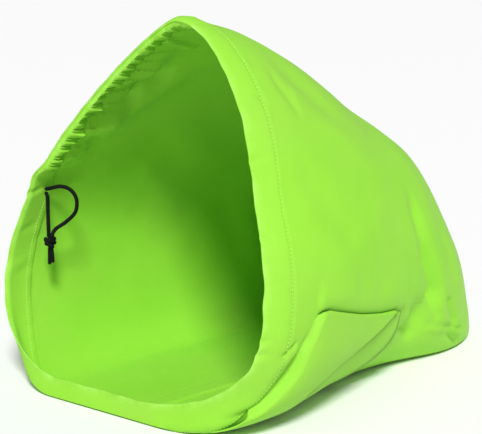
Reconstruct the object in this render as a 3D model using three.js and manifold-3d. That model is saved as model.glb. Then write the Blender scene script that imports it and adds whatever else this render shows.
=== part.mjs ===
// Drawstring helmet bag of soft woven cloth, open and lying on its side.
// Millimetres, +Z up. The mouth faces -Y, the closed end +Y, the near wall is at +X.
import * as THREE from "three";
import { mergeVertices } from "three/addons/utils/BufferGeometryUtils.js";
import Module from "manifold-3d";

const wasm = await Module();
wasm.setup();

// Driving sizes
const bagLength = 423;
const bagWidth = 292;
const bagHeight = 320;
const clothThickness = 1.6;
const seamGap = 0.3;
const hemGap = 0.5;
const hemDepth = 25;
const gatheredHemDepth = 19;
const channelLoft = 0.8;
const gatheredLoft = 2.6;
const gatherDepth = 2.2;
const gatherCount = 26;
const tuckRise = 8;
const tuckLayerRise = 3;
const cordDiameter = 3.4;
const cordGap = 0.3;
const slitLength = 11;
const slitWidth = 4.8;
const knotLength = 12;
const knotWidth = 8.6;
const tailLength = 15;

// Cross sections from the mouth to the closed end. Every value is a share: height, lift and
// wideAt of bagHeight, widths, feet and crest of half the bagWidth, curl of bagLength.
// lean and yaw tip the section, top and lower pull the two curves of each wall outwards.
const sections = [
  { along: 0.00, height: 0.985, crest: 0.08, near: 0.94, far: 0.98, wideNear: 0.26, wideFar: 0.30, lift: 0.050,
    footNear: 0.14, footFar: 0.42, lowNear: 0.52, lowFar: 0.54, topNear: 0.43, topFar: 0.13, curl: 0, lean: 0.20, yaw: 0.12 },
  { along: 0.03, height: 0.985, crest: 0.08, near: 0.98, far: 0.99, wideNear: 0.27, wideFar: 0.30, lift: 0.006,
    footNear: 0.34, footFar: 0.46, lowNear: 0.52, lowFar: 0.54, topNear: 0.44, topFar: 0.15, curl: -0.038, lean: 0.20, yaw: 0.12 },
  { along: 0.06, height: 0.98, crest: 0.08, near: 1.00, far: 0.99, wideNear: 0.28, wideFar: 0.31, lift: 0,
    footNear: 0.52, footFar: 0.50, lowNear: 0.54, lowFar: 0.56, topNear: 0.45, topFar: 0.17, curl: -0.033, lean: 0.19, yaw: 0.11 },
  { along: 0.20, height: 0.95, crest: 0.08, near: 0.99, far: 0.97, wideNear: 0.31, wideFar: 0.33, lift: 0,
    footNear: 0.58, footFar: 0.58, lowNear: 0.46, lowFar: 0.62, topNear: 0.45, topFar: 0.30, curl: 0, lean: 0.13, yaw: 0.05 },
  { along: 0.40, height: 0.865, crest: 0.10, near: 0.92, far: 0.93, wideNear: 0.33, wideFar: 0.35, lift: 0,
    footNear: 0.48, footFar: 0.60, lowNear: 0.28, lowFar: 0.62, topNear: 0.47, topFar: 0.40, curl: 0, lean: 0.04, yaw: 0 },
  { along: 0.60, height: 0.755, crest: 0.12, near: 0.84, far: 0.84, wideNear: 0.32, wideFar: 0.35, lift: 0,
    footNear: 0.46, footFar: 0.56, lowNear: 0.40, lowFar: 0.62, topNear: 0.48, topFar: 0.45, curl: 0, lean: -0.08, yaw: 0 },
  { along: 0.80, height: 0.67, crest: 0.15, near: 0.76, far: 0.70, wideNear: 0.25, wideFar: 0.30, lift: 0,
    footNear: 0.60, footFar: 0.50, lowNear: 0.62, lowFar: 0.62, topNear: 0.58, topFar: 0.48, curl: 0, lean: -0.27, yaw: 0 },
  { along: 1.00, height: 0.59, crest: 0.17, near: 0.68, far: 0.58, wideNear: 0.15, wideFar: 0.22, lift: 0,
    footNear: 0.62, footFar: 0.40, lowNear: 0.62, lowFar: 0.62, topNear: 0.66, topFar: 0.50, curl: 0, lean: -0.48, yaw: 0 },
];

// Where the walls turn in to the seam of the closed end, and how squarely.
const closing = { from: 0.70, power: 2.2 };

// Soft dents and swells: place and reach as shares of bagLength and bagHeight, rise of
// bagHeight, turn in degrees from level.
const dents = [
  { side: "near", along: 0.30, up: 0.80, long: 0.10, high: 0.040, turn: -30, rise: -0.012 },
  { side: "near", along: 0.36, up: 0.70, long: 0.12, high: 0.050, turn: -25, rise: 0.008 },
  { side: "near", along: 0.83, up: 0.34, long: 0.030, high: 0.200, turn: 0, rise: -0.022 },
  { side: "near", along: 0.90, up: 0.30, long: 0.025, high: 0.200, turn: 0, rise: 0.008 },
  { side: "near", along: 0.62, up: 0.16, long: 0.040, high: 0.060, turn: 0, rise: -0.025 },
  { side: "near", along: 0.00, up: 0.58, long: 0.20, high: 0.130, turn: 0, rise: -0.034 },
  { side: "near", along: 0.09, up: 0.15, long: 0.030, high: 0.080, turn: -40, rise: -0.010 },
  { side: "far", along: 0.02, up: 0.55, long: 0.08, high: 0.030, turn: 0, rise: 0.016 },
  { side: "far", along: 0.16, up: 0.72, long: 0.12, high: 0.035, turn: 35, rise: -0.016 },
  { side: "far", along: 0.14, up: 0.60, long: 0.12, high: 0.035, turn: 35, rise: 0.012 },
  { side: "far", along: 0.45, up: 0.60, long: 0.15, high: 0.060, turn: -25, rise: -0.016 },
  { side: "far", along: 0.70, up: 0.25, long: 0.06, high: 0.150, turn: 10, rise: -0.018 },
];

// The spare cloth of the underside, folded out and laid up against the near wall. Its top
// edge is a crease from the mouth to the back. floor says where the cloth of each place on
// the crease reaches the ground, which makes the slanted back edge. Shares of bagLength
// and bagHeight; rise and layer are shares of tuckRise and tuckLayerRise.
const tuck = [
  { along: 0.00, crease: 0.250, floor: 0.00, rise: 0.00, layer: 0 },
  { along: 0.07, crease: 0.246, floor: 0.07, rise: 0.08, layer: 0 },
  { along: 0.10, crease: 0.245, floor: 0.09, rise: 0.12, layer: 0 },
  { along: 0.135, crease: 0.252, floor: 0.11, rise: 0.30, layer: 0 },
  { along: 0.165, crease: 0.292, floor: 0.13, rise: 0.85, layer: 0 },
  { along: 0.25, crease: 0.278, floor: 0.18, rise: 1.00, layer: 0 },
  { along: 0.38, crease: 0.244, floor: 0.23, rise: 1.00, layer: 0 },
  { along: 0.490, crease: 0.217, floor: 0.280, rise: 1.00, layer: 0 },
  { along: 0.502, crease: 0.214, floor: 0.290, rise: 1.00, layer: -1 },
  { along: 0.528, crease: 0.206, floor: 0.385, rise: 0.95, layer: -1 },
  { along: 0.542, crease: 0.200, floor: 0.400, rise: 0.00, layer: 0 },
  { along: 0.75, crease: 0.190, floor: 0.72, rise: 0.00, layer: 0 },
  { along: 1.00, crease: 0.160, floor: 1.00, rise: 0.00, layer: 0 },
];
const tuckPocket = 0.016;

// Drawcord: how deep in the hem its slit is, and the route of its two strands from the slit
// to the knot, in millimetres from the middle of the slit.
const slitDepthShare = 0.70;
const strandSpacing = 4.4;
const strandDown = [[4.6, -0.6, -8], [5.0, -1, -20], [5.2, -1, -39]];
const strandLoop = [[12, 8, 3.2], [18.5, 14, 0], [22.5, 17, -8], [22, 16, -19], [16.5, 10.5, -27.5],
  [10.8, 2.8, -34], [9.6, -0.6, -39]];
const knotPlace = [7.4, -1, -39];

const halfWidth = bagWidth / 2;
const smooth = (x) => {
  const k = Math.min(1, Math.max(0, x));
  return k * k * (3 - 2 * k);
};

function sectionValue(name, along) {
  let i = 0;
  while (i < sections.length - 2 && along > sections[i + 1].along) i += 1;
  const slope = (k) => {
    const a = sections[Math.max(0, k - 1)];
    const b = sections[Math.min(sections.length - 1, k + 1)];
    return (b[name] - a[name]) / (b.along - a.along);
  };
  const [p, q] = [sections[i], sections[i + 1]];
  const h = q.along - p.along;
  const k = (along - p.along) / h;
  const k2 = k * k;
  const k3 = k2 * k;
  return (2 * k3 - 3 * k2 + 1) * p[name] + (k3 - 2 * k2 + k) * h * slope(i)
    + (3 * k2 - 2 * k3) * q[name] + (k3 - k2) * h * slope(i + 1);
}

function closingWidth(along) {
  const k = Math.max(0, (along - closing.from) / (1 - closing.from));
  return Math.pow(Math.max(0, 1 - Math.pow(k, closing.power)), 1 / closing.power);
}

function bezier(a, b, c, d, k) {
  const j = 1 - k;
  return j * j * j * a + 3 * j * j * k * b + 3 * j * k * k * c + k * k * k * d;
}

// Point of one wall: round goes from 0 at the seam underneath to 1 at the crest.
const footShare = 0.14;
const wideShare = 0.40;
const lowerPull = 0.42;
const upperPull = 0.46;
function basePoint(side, along, round) {
  const v = (name) => sectionValue(name, along);
  const sign = side === "near" ? 1 : -1;
  const cap = side === "near" ? "Near" : "Far";
  const top = v("height") * bagHeight;
  const low = Math.max(0, v("lift")) * bagHeight;
  const wideZ = v("wide" + cap) * bagHeight;
  const seamX = v("crest") * halfWidth;
  const shrink = closingWidth(along);
  const wide = (v(side) * halfWidth - sign * seamX) * shrink;
  const foot = (v("foot" + cap) * halfWidth - sign * seamX) * shrink;
  let out;
  let z;
  if (round < footShare) {
    out = foot * round / footShare;
    z = low;
  } else if (round < wideShare) {
    const k = (round - footShare) / (wideShare - footShare);
    out = bezier(foot, foot + (wide - foot) * v("low" + cap), wide, wide, k);
    z = bezier(low, low, low + (wideZ - low) * lowerPull, wideZ, k);
  } else {
    const k = (round - wideShare) / (1 - wideShare);
    out = bezier(wide, wide, wide * v("top" + cap), 0, k);
    z = bezier(wideZ, wideZ + (top - wideZ) * upperPull, top, top, k);
  }
  const x = seamX + sign * out;
  const near = Math.max(0, 1 - z / (0.2 * bagHeight));
  const y = bagLength * (along + v("curl") * near * near) + v("lean") * z + v("yaw") * x;
  return new THREE.Vector3(x, y, z);
}

function baseNormal(side, along, round) {
  const e = 0.002;
  const a = Math.min(0.997, Math.max(e, along));
  const r = Math.min(1 - e, Math.max(e, round));
  const u = basePoint(side, a + e, r).sub(basePoint(side, a - e, r));
  const w = basePoint(side, a, r + e).sub(basePoint(side, a, r - e));
  const n = side === "near" ? u.cross(w) : w.cross(u);
  return n.normalize();
}

function tuckValue(name, along) {
  let i = 0;
  while (i < tuck.length - 2 && along > tuck[i + 1].along) i += 1;
  const k = (along - tuck[i].along) / (tuck[i + 1].along - tuck[i].along);
  return tuck[i][name] + (tuck[i + 1][name] - tuck[i][name]) * Math.min(1, Math.max(0, k));
}

// Round share at which the near wall reaches the crease.
function creaseRound(along) {
  const low = Math.max(0, sectionValue("lift", along));
  const share = (tuckValue("crease", along) - low) / (sectionValue("wideNear", along) - low);
  let k = 1;
  for (let i = 0; i < 6; i += 1) k = Math.sqrt(share / (3 * lowerPull + (1 - 3 * lowerPull) * k));
  return footShare + (wideShare - footShare) * k;
}

function dentRise(side, along, up) {
  let rise = 0;
  for (const d of dents) {
    if (d.side !== side) continue;
    const c = Math.cos(THREE.MathUtils.degToRad(d.turn));
    const s = Math.sin(THREE.MathUtils.degToRad(d.turn));
    const dx = (along - d.along) * bagLength;
    const dz = (up - d.up) * bagHeight;
    const p = (dx * c + dz * s) / (d.long * bagLength);
    const q = (dz * c - dx * s) / (d.high * bagHeight);
    rise += d.rise * bagHeight * Math.exp(-(p * p + q * q));
  }
  return rise * smooth(up / 0.05) * smooth((1 - along) / 0.05);
}

// Outer face of a wall, moved inwards by depth. On the near wall round counts 0 to
// creaseMark below the crease of the tuck and creaseMark to 1 above it.
const creaseMark = 0.36;
function wallPoint(side, along, round, depth = 0) {
  let a = along;
  let r = round;
  let fold = 0;
  let drop = 0;
  if (side === "near") {
    const crease = creaseRound(along);
    if (round < creaseMark) {
      r = crease * round / creaseMark;
      const up = (r - footShare) / (crease - footShare);
      a = tuckValue("floor", along) + (along - tuckValue("floor", along)) * smooth(up);
      fold = tuckRise * tuckValue("rise", along) + tuckLayerRise * tuckValue("layer", along);
      fold *= smooth(up / 0.8);
    } else {
      const k = (round - creaseMark) / (1 - creaseMark);
      r = crease + (1 - crease) * k;
      drop = tuckPocket * bagHeight * tuckValue("rise", along) * Math.max(0, 1 - k / 0.06);
    }
  }
  const p = basePoint(side, a, r);
  const n = baseNormal(side, a, r);
  const dent = dentRise(side, a, p.z / bagHeight) * smooth((1 - r) / 0.08);
  p.addScaledVector(n, dent - depth);
  p.addScaledVector(new THREE.Vector3(n.x, n.y, 0).normalize(), fold);
  p.z -= drop;
  return p;
}

// The gathers run from just past the crest down the far side to the drawcord exit.
const gathers = { nearEnd: 0.93, farEnd: 0.545, nearPart: 0.14 };
const gatherFade = 0.04;
function gatherAmount(side, round) {
  const end = side === "near" ? gathers.nearEnd : gathers.farEnd;
  return Math.min(1, Math.max(0, (round - end) / gatherFade));
}
function hemDepthAt(side, round) {
  return hemDepth + (gatheredHemDepth - hemDepth) * gatherAmount(side, round);
}

// Grid of points to one closed body. outer and inner are rows of points of equal size.
function closedSheet(outer, inner) {
  const rows = outer.length;
  const cols = outer[0].length;
  const position = [];
  for (const face of [outer, inner]) for (const row of face) for (const p of row) position.push(p.x, p.y, p.z);
  const id = (face, i, j) => face * rows * cols + i * cols + j;
  const index = [];
  const quad = (a, b, c, d) => index.push(a, b, c, a, c, d);
  for (let i = 0; i < rows - 1; i += 1) {
    for (let j = 0; j < cols - 1; j += 1) {
      quad(id(0, i, j), id(0, i, j + 1), id(0, i + 1, j + 1), id(0, i + 1, j));
      quad(id(1, i, j), id(1, i + 1, j), id(1, i + 1, j + 1), id(1, i, j + 1));
    }
  }
  for (let j = 0; j < cols - 1; j += 1) {
    quad(id(0, 0, j), id(1, 0, j), id(1, 0, j + 1), id(0, 0, j + 1));
    quad(id(0, rows - 1, j), id(0, rows - 1, j + 1), id(1, rows - 1, j + 1), id(1, rows - 1, j));
  }
  for (let i = 0; i < rows - 1; i += 1) {
    quad(id(0, i, 0), id(0, i + 1, 0), id(1, i + 1, 0), id(1, i, 0));
    quad(id(0, i, cols - 1), id(1, i, cols - 1), id(1, i + 1, cols - 1), id(0, i + 1, cols - 1));
  }
  return outward(position, index);
}

function outward(position, index) {
  let volume = 0;
  const p = (k) => new THREE.Vector3(position[3 * k], position[3 * k + 1], position[3 * k + 2]);
  for (let i = 0; i < index.length; i += 3) {
    volume += p(index[i]).dot(p(index[i + 1]).cross(p(index[i + 2])));
  }
  if (volume < 0) for (let i = 0; i < index.length; i += 3) [index[i], index[i + 1]] = [index[i + 1], index[i]];
  const geometry = new THREE.BufferGeometry();
  geometry.setAttribute("position", new THREE.Float32BufferAttribute(position, 3));
  geometry.setIndex(index);
  geometry.computeVertexNormals();
  return geometry;
}

// Spread of grid lines: closer together where the cloth folds.
function spread(from, to, count, crowd) {
  const weight = (x) => 1 + crowd.reduce((sum, c) => sum + c.extra * Math.exp(-(((x - c.at) / c.reach) ** 2)), 0);
  const fine = 400;
  const total = [0];
  for (let i = 0; i < fine; i += 1) total.push(total[i] + weight(from + (to - from) * (i + 0.5) / fine));
  const out = [];
  let k = 0;
  for (let i = 0; i <= count; i += 1) {
    const want = total[fine] * i / count;
    while (k < fine - 1 && total[k + 1] < want) k += 1;
    out.push(from + (to - from) * (k + (want - total[k]) / (total[k + 1] - total[k])) / fine);
  }
  return out;
}

const crowdAlong = { near: [{ at: 0.52, reach: 0.02, extra: 9 }, { at: 1, reach: 0.1, extra: 3 }],
  far: [{ at: 0.1, reach: 0.15, extra: 0.5 }, { at: 1, reach: 0.1, extra: 3 }] };
const crowdRound = { near: [{ at: creaseMark, reach: 0.012, extra: 14 }], far: [{ at: 0.7, reach: 0.2, extra: 0.5 }] };
function panelRounds(side) {
  const end = side === "near" ? gathers.nearEnd : gathers.farEnd;
  const rounds = spread(0, 1, linesRound[side], crowdRound[side]);
  const clear = rounds.filter((r) => Math.abs(r - end) > 0.012 && Math.abs(r - end - gatherFade) > 0.012);
  return [...clear, end, end + gatherFade].sort((a, b) => a - b);
}

const linesAlong = { near: 31, far: 21 };
const linesRound = { near: 30, far: 20 };

function panel(side) {
  const sign = side === "near" ? 1 : -1;
  const outer = [];
  const inner = [];
  const rounds = panelRounds(side);
  const alongs = spread(0, 1, linesAlong[side], crowdAlong[side]);
  for (const share of alongs) {
    const outerRow = [];
    const innerRow = [];
    for (const round of rounds) {
      const start = (hemDepthAt(side, round) + hemGap) / bagLength;
      const along = start + (1 - start) * share;
      const p = wallPoint(side, along, round);
      const q = wallPoint(side, along, round, clothThickness);
      const seamAlong = side === "near" && round === 0 ? tuckValue("floor", along) : along;
      const seamX = sectionValue("crest", seamAlong) * halfWidth + sign * seamGap / 2;
      const onSeam = round === 0 || round === 1 || share === 1;
      if (onSeam) {
        const n = baseNormal(side, along, round);
        const flat = Math.max(0.35, 1 - n.x * n.x);
        q.copy(p).addScaledVector(new THREE.Vector3(0, n.y, n.z), -clothThickness / flat);
        p.x = seamX;
        q.x = seamX;
      } else {
        if (sign * (p.x - seamX) < 0) p.x = seamX;
        if (sign * (q.x - seamX) < 0) q.x = seamX;
      }
      outerRow.push(p);
      innerRow.push(q);
    }
    outer.push(outerRow);
    inner.push(innerRow);
  }
  return closedSheet(outer, inner);
}

// The hem is one length of cloth folded back on itself around the mouth. Its channel holds
// the drawcord. back is the depth from the free edge, out the height off the wall.
function hemSection(depth, swell, loft, ruffle) {
  const t = clothThickness;
  const inside = -t - seamGap;
  const fold = inside / 2;
  return [
    { back: depth, out: 0 },
    { back: depth * 0.72, out: swell * 0.8 + ruffle * 0.7 },
    { back: depth * 0.36, out: swell + ruffle },
    { back: depth * 0.08, out: swell * 0.5 + ruffle * 0.5 },
    { back: 0, out: fold },
    { back: depth * 0.08, out: inside - t - loft * 0.5 - ruffle * 0.6 },
    { back: depth * 0.36, out: inside - t - loft - ruffle * 1.1 },
    { back: depth * 0.72, out: inside - t - loft * 0.8 - ruffle * 1.3 },
    { back: depth, out: inside - t - ruffle * 0.8 },
    { back: depth, out: inside - ruffle * 0.8 },
    { back: depth * 0.72, out: inside - loft * 0.8 - ruffle * 1.3 },
    { back: depth * 0.36, out: inside - loft - ruffle * 1.1 },
    { back: t * 1.2, out: fold },
    { back: depth * 0.36, out: swell + ruffle - t },
    { back: depth * 0.72, out: swell * 0.8 + ruffle * 0.7 - t },
    { back: depth, out: -t },
  ];
}

const hemStepsPerGather = 4;
function hemStops() {
  const stops = [];
  const nearPlain = panelRounds("near").filter((r) => r < gathers.nearEnd);
  const farPlain = panelRounds("far").filter((r) => r < gathers.farEnd);
  const steps = gatherCount * hemStepsPerGather;
  const nearSteps = Math.round(gatherCount * gathers.nearPart) * hemStepsPerGather;
  const wave = (k) => Math.pow(Math.abs(Math.sin(Math.PI * k / hemStepsPerGather)), 0.8);
  for (const round of nearPlain) stops.push({ side: "near", round, wave: 0 });
  for (let i = 0; i < nearSteps; i += 1) {
    stops.push({ side: "near", round: gathers.nearEnd + (1 - gathers.nearEnd) * i / nearSteps, wave: wave(i) });
  }
  for (let i = 0; i < steps - nearSteps; i += 1) {
    stops.push({ side: "far", round: 1 - (1 - gathers.farEnd) * i / (steps - nearSteps), wave: wave(i) });
  }
  stops.push({ side: "far", round: gathers.farEnd, wave: 0 });
  for (const round of farPlain.reverse()) if (round > 0) stops.push({ side: "far", round, wave: 0 });
  return stops;
}

function hemRing() {
  const position = [];
  const index = [];
  const stops = hemStops();
  let ringSize = 0;
  for (const stop of stops) {
    const amount = gatherAmount(stop.side, stop.round);
    const depth = hemDepthAt(stop.side, stop.round);
    const loft = channelLoft + (gatheredLoft - channelLoft) * amount;
    const offFloor = smooth((stop.round - footShare) / (wideShare - footShare));
    const section = hemSection(depth, loft * offFloor, loft, gatherDepth * amount * (stop.wave - 0.3));
    ringSize = section.length;
    for (const s of section) {
      const p = wallPoint(stop.side, s.back / bagLength, stop.round, -s.out);
      position.push(p.x, p.y, p.z);
    }
  }
  const count = stops.length;
  for (let i = 0; i < count; i += 1) {
    const next = (i + 1) % count;
    for (let j = 0; j < ringSize; j += 1) {
      const k = (j + 1) % ringSize;
      const [a, b, c, d] = [i * ringSize + j, i * ringSize + k, next * ringSize + k, next * ringSize + j];
      index.push(a, b, c, a, c, d);
    }
  }
  return outward(position, index);
}

function solidOf(geometry) {
  return new wasm.Manifold(new wasm.Mesh({
    numProp: 3,
    vertProperties: new Float32Array(geometry.attributes.position.array),
    triVerts: new Uint32Array(geometry.index.array),
  }));
}

function geometryOf(solid) {
  const mesh = solid.getMesh();
  const geometry = new THREE.BufferGeometry();
  const position = [];
  for (let i = 0; i < mesh.vertProperties.length; i += mesh.numProp) {
    position.push(mesh.vertProperties[i], mesh.vertProperties[i + 1], mesh.vertProperties[i + 2]);
  }
  geometry.setAttribute("position", new THREE.Float32BufferAttribute(position, 3));
  geometry.setIndex([...mesh.triVerts]);
  geometry.computeVertexNormals();
  return geometry;
}

function mergedSolid(geometry) {
  const plain = geometry.clone();
  plain.deleteAttribute("normal");
  plain.deleteAttribute("uv");
  return solidOf(mergeVertices(plain, 1e-4));
}

// Middle of the drawcord slit on the inner leg of the hem, with its own directions:
// along the hem, back from the mouth, and out of the cloth into the bag.
function slitFrame() {
  const depth = hemDepth * slitDepthShare;
  const inside = clothThickness * 2 + seamGap + channelLoft * 0.8;
  const at = wallPoint("far", depth / bagLength, gathers.farEnd - 0.012, inside - clothThickness / 2);
  const further = wallPoint("far", depth / bagLength, gathers.farEnd, inside - clothThickness / 2);
  const into = baseNormal("far", depth / bagLength, gathers.farEnd - 0.012).negate();
  const round = further.sub(at).normalize();
  const back = new THREE.Vector3().crossVectors(into, round).normalize();
  return { at, round, back, into };
}
const slit = slitFrame();

function slitCutter() {
  const outline = new THREE.Shape();
  const r = slitWidth / 2;
  const half = slitLength / 2 - r;
  outline.absarc(half, 0, r, -Math.PI / 2, Math.PI / 2, false);
  outline.absarc(-half, 0, r, Math.PI / 2, Math.PI * 1.5, false);
  const reach = clothThickness * 1.8;
  const block = new THREE.ExtrudeGeometry(outline, { depth: reach, bevelEnabled: false, curveSegments: 6 });
  block.translate(0, 0, -reach / 2);
  block.applyMatrix4(new THREE.Matrix4().makeBasis(slit.round, slit.back, slit.into).setPosition(slit.at));
  return mergedSolid(block);
}

function cordTube(points, sides, steps) {
  const route = new THREE.CatmullRomCurve3(points, false, "centripetal");
  const section = new THREE.Shape();
  for (let i = 0; i < sides; i += 1) {
    const angle = 2 * Math.PI * i / sides;
    const [x, y] = [Math.cos(angle) * cordDiameter / 2, Math.sin(angle) * cordDiameter / 2];
    if (i === 0) section.moveTo(x, y);
    else section.lineTo(x, y);
  }
  section.closePath();
  return new THREE.ExtrudeGeometry(section, { extrudePath: route, steps, bevelEnabled: false });
}

const fromSlit = (p) => new THREE.Vector3(...p).add(slit.at);
function strandRoute(points, side) {
  const face = clothThickness / 2 + cordGap;
  const start = slit.at.clone().addScaledVector(slit.round, side * strandSpacing / 2);
  const first = start.clone().addScaledVector(slit.into, face);
  const second = start.clone().addScaledVector(slit.into, face + cordDiameter * 0.6);
  return [first, second, ...points.map(fromSlit)];
}
const strandSteps = { down: 7, loop: 16 };

// Overhand knot: a round lump with one turn of cord over it and the two cut ends below.
function knotGeometry() {
  const r = cordDiameter / 2;
  const lump = new THREE.SphereGeometry(1, 10, 8);
  lump.scale(knotWidth / 2, knotWidth / 2, knotLength / 2);
  const turn = new THREE.TorusGeometry(knotWidth / 2 - r * 0.35, r, 6, 12);
  turn.rotateX(THREE.MathUtils.degToRad(62));
  turn.rotateY(THREE.MathUtils.degToRad(24));
  const tail = (side, lean) => cordTube([
    new THREE.Vector3(side * r * 0.4, 0, -knotLength * 0.2),
    new THREE.Vector3(side * r * 1.1, lean * 0.3, -knotLength / 2 - tailLength * 0.3),
    new THREE.Vector3(side * r * 1.25 - lean, lean, -knotLength / 2 - tailLength * (side > 0 ? 0.86 : 1)),
  ], 6, 3);
  const solid = mergedSolid(lump).add(mergedSolid(turn)).add(mergedSolid(tail(1, 1.2))).add(mergedSolid(tail(-1, 0.4)));
  const geometry = geometryOf(solid);
  const top = fromSlit(knotPlace);
  geometry.translate(top.x, top.y, top.z - knotLength / 2 - cordGap);
  return geometry;
}

// Materials
const cloth = { color: 0x8fe62b, roughness: 0.85, metalness: 0 };
const nearCloth = new THREE.MeshStandardMaterial(cloth);
const farCloth = new THREE.MeshStandardMaterial(cloth);
const hemCloth = new THREE.MeshStandardMaterial(cloth);
const cord = { color: 0x111311, roughness: 0.8, metalness: 0 };

const bag = new THREE.Group();
function add(name, geometry, material) {
  const mesh = new THREE.Mesh(geometry, material);
  mesh.name = name;
  bag.add(mesh);
  return mesh;
}

add("near_panel", panel("near"), nearCloth);
add("far_panel", panel("far"), farCloth);
add("mouth_hem", geometryOf(solidOf(hemRing()).subtract(slitCutter())), hemCloth);

// The origin is on the floor under the middle of the bag, the cord not counted.
const box = new THREE.Box3().setFromObject(bag);
const middle = box.getCenter(new THREE.Vector3());

const downPoints = strandRoute(strandDown, -1);
const loopPoints = strandRoute(strandLoop, 1);
add("drawcord_strand_down", cordTube(downPoints, 8, strandSteps.down), new THREE.MeshStandardMaterial(cord));
add("drawcord_strand_loop", cordTube(loopPoints, 8, strandSteps.loop), new THREE.MeshStandardMaterial(cord));
add("drawcord_knot", knotGeometry(), new THREE.MeshStandardMaterial(cord));
bag.position.set(-middle.x, -middle.y, -box.min.z);

export default bag;
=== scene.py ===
import math

import bpy
import numpy as np
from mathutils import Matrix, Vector, noise


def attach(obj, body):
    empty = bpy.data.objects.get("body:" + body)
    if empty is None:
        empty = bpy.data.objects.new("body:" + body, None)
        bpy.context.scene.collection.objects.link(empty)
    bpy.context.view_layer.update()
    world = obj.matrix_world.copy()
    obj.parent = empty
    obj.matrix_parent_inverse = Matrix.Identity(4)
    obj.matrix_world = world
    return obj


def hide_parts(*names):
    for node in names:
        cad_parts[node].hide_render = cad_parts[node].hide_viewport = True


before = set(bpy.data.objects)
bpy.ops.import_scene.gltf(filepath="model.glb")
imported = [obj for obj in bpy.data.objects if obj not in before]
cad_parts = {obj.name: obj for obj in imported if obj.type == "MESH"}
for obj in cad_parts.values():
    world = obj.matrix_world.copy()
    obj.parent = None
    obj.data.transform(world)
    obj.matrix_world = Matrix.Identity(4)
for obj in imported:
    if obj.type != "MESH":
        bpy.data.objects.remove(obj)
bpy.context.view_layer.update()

MM = 0.001
BAG_LENGTH = 423 * MM
BAG_WIDTH = 292 * MM
BAG_HEIGHT = 320 * MM
HALF_WIDTH = BAG_WIDTH / 2
CLOTH = 1.1 * MM
HEM_DEPTH = 25 * MM
GATHERED_HEM_DEPTH = 19 * MM
HEM_TURN_UNDER = 3 * MM
TUCK_RISE = 9.5 * MM
TUCK_LAYER_RISE = 4.5 * MM
GATHER_COUNT = 22
CORD_DIAMETER = 3.4 * MM
KNOT_LENGTH = 12 * MM
KNOT_WIDTH = 10.8 * MM
KNOT_TILT = 1.5 * MM
TAIL_LENGTH = 15 * MM
# Where the sections' own frame lies in the bag's frame.
BAG_PLACE = np.array([-3.048, -206.716, 0.0]) * MM


def table(names, rows):
    """Rows of numbers as named columns."""
    return {name: np.array(column) for name, column in zip(names.split(), zip(*rows))}


# The camera stands where the photograph was taken from: azimuth and height in degrees.
VIEW_FROM = (45, 11.5)
VIEW_TARGET = Vector((25.95, -85.72, 150.0)) * MM
VIEW_DISTANCE = 1120 * MM
LENS_MM = 99.8


def direction(azimuth, elevation):
    """Unit vector that points that way. Azimuth 0 is -Y and 90 is +X, in degrees."""
    azimuth, elevation = math.radians(azimuth), math.radians(elevation)
    flat = math.cos(elevation)
    return Vector((flat * math.sin(azimuth), -flat * math.cos(azimuth), math.sin(elevation)))


def place_object(name, data):
    thing = bpy.data.objects.new(name, data)
    bpy.context.scene.collection.objects.link(thing)
    return thing


def make_camera():
    camera = place_object("studio_camera", bpy.data.cameras.new("studio_camera"))
    away = direction(*VIEW_FROM)
    camera.location = VIEW_TARGET + away * VIEW_DISTANCE
    camera.rotation_euler = (-away).to_track_quat("-Z", "Y").to_euler()
    camera.data.lens = LENS_MM
    bpy.context.scene.camera = camera


def add_piece(name, node, points, faces, material, place=None, masks=None, sharp=60):
    """A piece in place of a node: its mesh, with the cloth's own lengths and masks as attributes."""
    mesh = bpy.data.meshes.new(name)
    mesh.from_pydata(points.tolist(), [], faces)
    mesh.validate()
    if place is not None:
        lengths = mesh.attributes.new("cloth_place", "FLOAT_VECTOR", "POINT")
        lengths.data.foreach_set("vector", place.astype(np.float32).ravel())
    for key, values in (masks or {}).items():
        mask = mesh.attributes.new(key, "FLOAT", "POINT")
        mask.data.foreach_set("value", values.astype(np.float32).ravel())
    mesh.materials.append(material)
    mesh.shade_smooth()
    mesh.set_sharp_from_angle(angle=math.radians(sharp))
    piece = place_object(name, mesh)
    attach(piece, "root")
    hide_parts(node)
    return piece


# Materials
CLOTH_PITCH = 0.55 * MM
BRAID_PITCH = 0.3 * MM
WEAVE_DEPTH = 0.06 * MM
CRUMPLE_DEPTH = 1.2 * MM
THREAD_DEPTH = 0.08 * MM


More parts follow.
